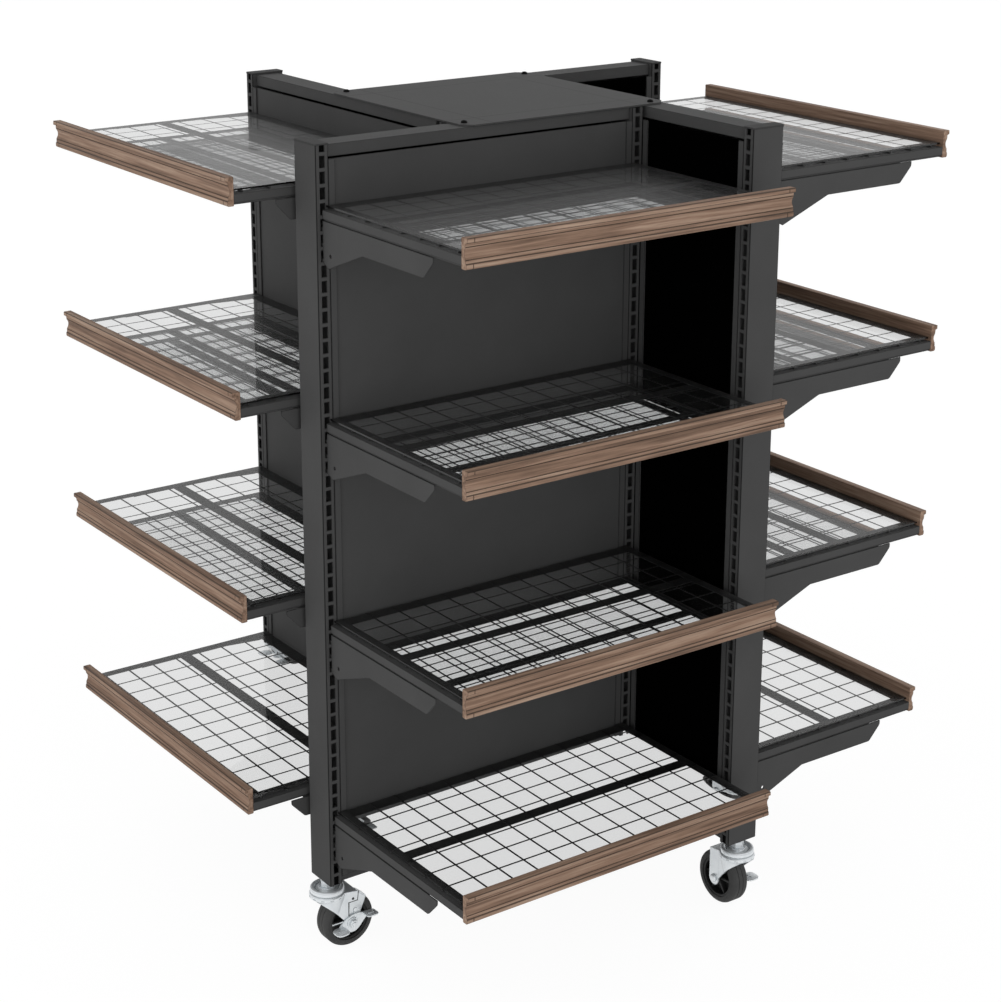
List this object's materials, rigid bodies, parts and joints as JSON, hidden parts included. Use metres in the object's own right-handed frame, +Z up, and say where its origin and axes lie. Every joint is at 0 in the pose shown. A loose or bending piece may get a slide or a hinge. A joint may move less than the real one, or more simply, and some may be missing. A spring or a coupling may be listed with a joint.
{
  "type": "four-way display rack",
  "caption": "Free-standing shop rack: slotted frames set as a pinwheel round a square core, clear-lined wire shelves with wooden fascias on hook-in brackets, on braked casters.",
  "frame": {"origin": "on the floor under the centre of the rack", "axes": "+Z up; the front bay faces -Y, and each next bay is turned a quarter turn about +Z"},
  "size_m": [1.254, 1.254, 1.4477],
  "materials": {
    "charcoal_metal": "satin powder coat",
    "black_board": "matte black",
    "black_plug": "satin moulded",
    "black_screw": "black oxide",
    "clear_sheet": "clear and glossy",
    "walnut": "satin wood grain",
    "zinc": "bright zinc plate",
    "black_hub": "moulded black",
    "tyre_rubber": "matte rubber"
  },
  "bodies": {
    "root": {"front_outer_upright": "charcoal_metal", "front_inner_upright": "charcoal_metal", "front_panel": "charcoal_metal", "front_deck_frames": "charcoal_metal", "front_deck_wires": "charcoal_metal", "front_brackets": "charcoal_metal", "front_shelf_liners": "clear_sheet", "front_fascias": "walnut", "right_outer_upright": "charcoal_metal", "right_inner_upright": "charcoal_metal", "right_panel": "charcoal_metal", "right_deck_frames": "charcoal_metal", "right_deck_wires": "charcoal_metal", "right_brackets": "charcoal_metal", "right_shelf_liners": "clear_sheet", "right_fascias": "walnut", "back_outer_upright": "charcoal_metal", "back_inner_upright": "charcoal_metal", "back_panel": "charcoal_metal", "back_deck_frames": "charcoal_metal", "back_deck_wires": "charcoal_metal", "back_brackets": "charcoal_metal", "back_shelf_liners": "clear_sheet", "back_fascias": "walnut", "left_outer_upright": "charcoal_metal", "left_inner_upright": "charcoal_metal", "left_panel": "charcoal_metal", "left_deck_frames": "charcoal_metal", "left_deck_wires": "charcoal_metal", "left_brackets": "charcoal_metal", "left_shelf_liners": "clear_sheet", "left_fascias": "walnut", "inner_boards": "black_board", "frame_rails": "charcoal_metal", "cover_strips": "charcoal_metal", "joining_spacers": "charcoal_metal", "upright_end_plugs": "black_plug", "top_plate": "charcoal_metal", "plate_screws": "black_screw", "caster_stems": "zinc"},
    "front_caster": {"front_caster_fork": "zinc", "front_caster_axle": "zinc"},
    "front_wheel": {"front_caster_hub": "black_hub", "front_caster_tyre": "tyre_rubber"},
    "front_brake": {"front_caster_brake": "zinc"},
    "right_caster": {"right_caster_fork": "zinc", "right_caster_axle": "zinc"},
    "right_wheel": {"right_caster_hub": "black_hub", "right_caster_tyre": "tyre_rubber"},
    "right_brake": {"right_caster_brake": "zinc"},
    "back_caster": {"back_caster_fork": "zinc", "back_caster_axle": "zinc"},
    "back_wheel": {"back_caster_hub": "black_hub", "back_caster_tyre": "tyre_rubber"},
    "back_brake": {"back_caster_brake": "zinc"},
    "left_caster": {"left_caster_fork": "zinc", "left_caster_axle": "zinc"},
    "left_wheel": {"left_caster_hub": "black_hub", "left_caster_tyre": "tyre_rubber"},
    "left_brake": {"left_caster_brake": "zinc"}
  },
  "joints": [
    {"name": "front_swivel", "type": "hinge", "parent": "root", "child": "front_caster", "pos_m": [-0.496, -0.18875, 0.1375], "axis": [0, 0, 1], "continuous": true},
    {"name": "front_roll", "type": "hinge", "parent": "front_caster", "child": "front_wheel", "pos_m": [-0.461, -0.18875, 0.05], "axis": [0, 1, 0], "continuous": true},
    {"name": "front_brake_pedal", "type": "hinge", "parent": "front_caster", "child": "front_brake", "pos_m": [-0.461, -0.18875, 0.05], "axis": [0, 1, 0], "range_deg": [0, 20]},
    {"name": "right_swivel", "type": "hinge", "parent": "root", "child": "right_caster", "pos_m": [0.18875, -0.496, 0.1375], "axis": [0, 0, 1], "continuous": true},
    {"name": "right_roll", "type": "hinge", "parent": "right_caster", "child": "right_wheel", "pos_m": [0.18875, -0.461, 0.05], "axis": [-1, 0, 0], "continuous": true},
    {"name": "right_brake_pedal", "type": "hinge", "parent": "right_caster", "child": "right_brake", "pos_m": [0.18875, -0.461, 0.05], "axis": [-1, 0, 0], "range_deg": [0, 20]},
    {"name": "back_swivel", "type": "hinge", "parent": "root", "child": "back_caster", "pos_m": [0.496, 0.18875, 0.1375], "axis": [0, 0, 1], "continuous": true},
    {"name": "back_roll", "type": "hinge", "parent": "back_caster", "child": "back_wheel", "pos_m": [0.461, 0.18875, 0.05], "axis": [0, -1, 0], "continuous": true},
    {"name": "back_brake_pedal", "type": "hinge", "parent": "back_caster", "child": "back_brake", "pos_m": [0.461, 0.18875, 0.05], "axis": [0, -1, 0], "range_deg": [0, 20]},
    {"name": "left_swivel", "type": "hinge", "parent": "root", "child": "left_caster", "pos_m": [-0.18875, 0.496, 0.1375], "axis": [0, 0, 1], "continuous": true},
    {"name": "left_roll", "type": "hinge", "parent": "left_caster", "child": "left_wheel", "pos_m": [-0.18875, 0.461, 0.05], "axis": [1, 0, 0], "continuous": true},
    {"name": "left_brake_pedal", "type": "hinge", "parent": "left_caster", "child": "left_brake", "pos_m": [-0.18875, 0.461, 0.05], "axis": [1, 0, 0], "range_deg": [0, 20]}
  ]
}
